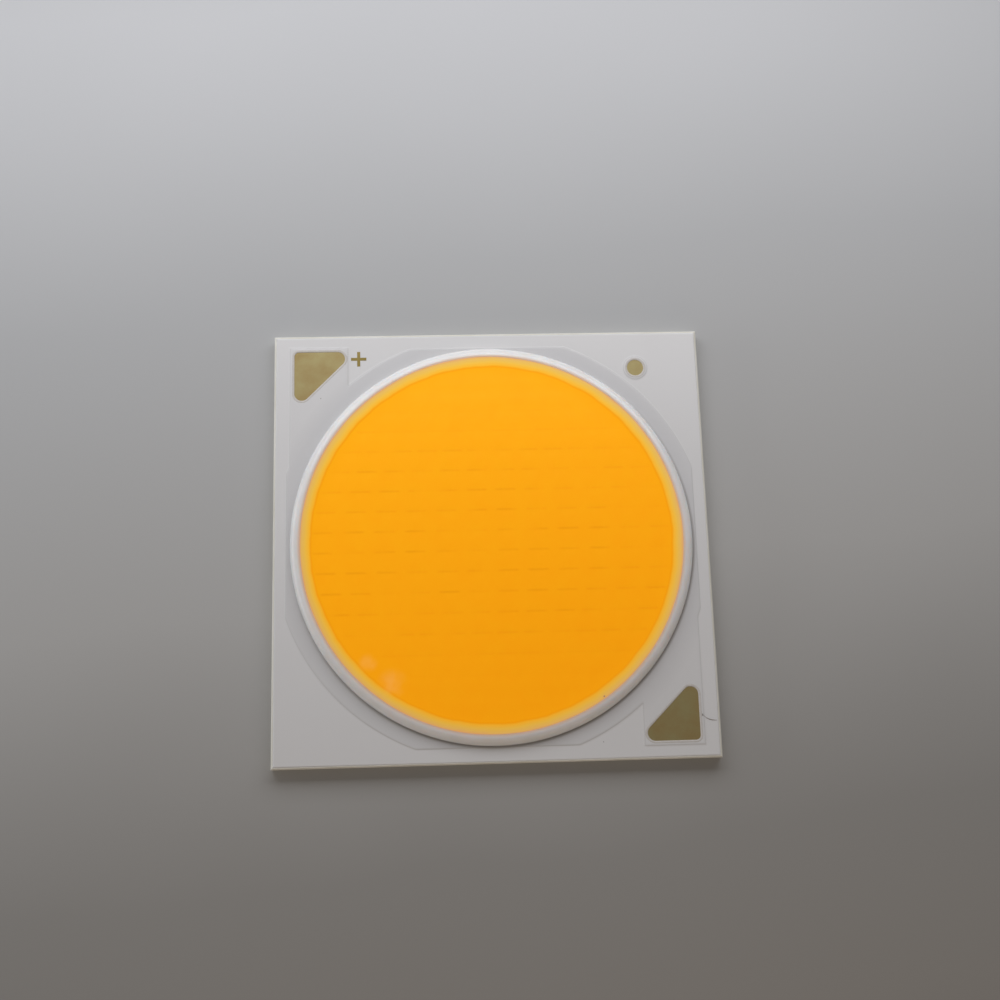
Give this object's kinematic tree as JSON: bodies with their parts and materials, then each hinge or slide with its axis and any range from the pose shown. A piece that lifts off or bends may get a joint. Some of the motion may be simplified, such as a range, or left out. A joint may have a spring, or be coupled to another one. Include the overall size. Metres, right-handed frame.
{
  "type": "chip-on-board led array",
  "caption": "Square ceramic chip-on-board LED array: a round orange phosphor field inside a white dam, with gold solder lands in two corners.",
  "frame": {"origin": "centre of the board's underside, which lies on the heat sink", "axes": "+Z out of the light-emitting side, +Y towards the edge that has the anode land at its left end, +X to the right"},
  "size_m": [0.0348, 0.0348, 0.0017],
  "materials": {
    "alumina": "fired alumina, fine matte grain",
    "gold_plate": "thin gold plating on printed metal, matte",
    "white_mask": "screen-printed white overglaze, satin",
    "dam_silicone": "white silicone bead, semi-gloss",
    "phosphor_silicone": "orange phosphor-filled silicone, glossy skin",
    "led_chip": "polished sapphire chip",
    "clear_glue": "clear die-attach silicone",
    "gold_wire": "bright drawn gold wire"
  },
  "bodies": {
    "root": {"ceramic_substrate": "alumina", "anode_trace": "gold_plate", "cathode_trace": "gold_plate", "temperature_pad": "gold_plate", "polarity_mark": "gold_plate", "solder_mask": "white_mask", "dam_ring": "dam_silicone", "die_attach": "clear_glue", "phosphor_fill": "phosphor_silicone", "led_row_01": "led_chip", "led_row_02": "led_chip", "led_row_03": "led_chip", "led_row_04": "led_chip", "led_row_05": "led_chip", "led_row_06": "led_chip", "led_row_07": "led_chip", "led_row_08": "led_chip", "led_row_09": "led_chip", "led_row_10": "led_chip", "led_row_11": "led_chip", "led_row_12": "led_chip", "led_row_13": "led_chip", "led_row_14": "led_chip", "led_row_15": "led_chip", "led_row_16": "led_chip", "wire_row_01": "gold_wire", "wire_row_02": "gold_wire", "wire_row_03": "gold_wire", "wire_row_04": "gold_wire", "wire_row_05": "gold_wire", "wire_row_06": "gold_wire", "wire_row_07": "gold_wire", "wire_row_08": "gold_wire", "wire_row_09": "gold_wire", "wire_row_10": "gold_wire", "wire_row_11": "gold_wire", "wire_row_12": "gold_wire", "wire_row_13": "gold_wire", "wire_row_14": "gold_wire", "wire_row_15": "gold_wire", "wire_row_16": "gold_wire"}
  },
  "joints": []
}
